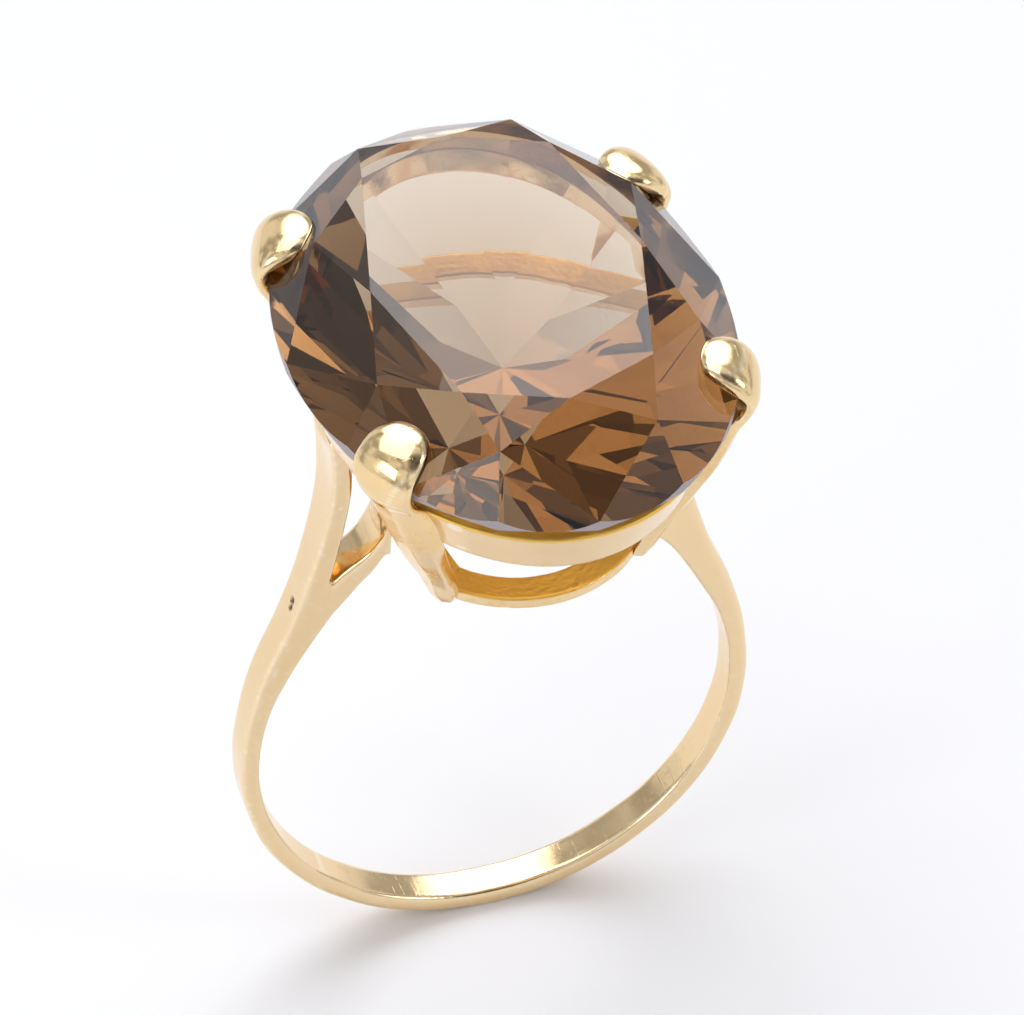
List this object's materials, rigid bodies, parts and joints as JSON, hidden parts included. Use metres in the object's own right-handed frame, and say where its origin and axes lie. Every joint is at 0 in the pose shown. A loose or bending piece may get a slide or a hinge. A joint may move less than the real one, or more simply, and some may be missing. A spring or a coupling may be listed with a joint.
{
  "type": "cocktail ring",
  "caption": "Gold cocktail ring: a large oval brilliant-cut smoky quartz held by corner claws over an open gallery, on a slim shank with split shoulders.",
  "frame": {"origin": "centre of the finger hole, halfway across the shank's width", "axes": "+Y along the finger hole's axis and the stone's long axis, +Z from the finger hole up through the stone's table, +X across the finger"},
  "size_m": [0.0182, 0.02, 0.0295],
  "materials": {
    "shank_gold": "polished yellow gold, lightly worn",
    "gallery_gold": "polished outside, filed and unpolished on hidden faces",
    "claw_gold": "polished yellow gold, tips burnished over the stone",
    "quartz": "polished facets, clear smoky brown"
  },
  "bodies": {
    "root": {"shank": "shank_gold", "upper_rail": "gallery_gold", "lower_rail": "gallery_gold", "claw_front_left": "claw_gold", "claw_front_right": "claw_gold", "claw_back_left": "claw_gold", "claw_back_right": "claw_gold", "stone": "quartz"}
  },
  "joints": []
}
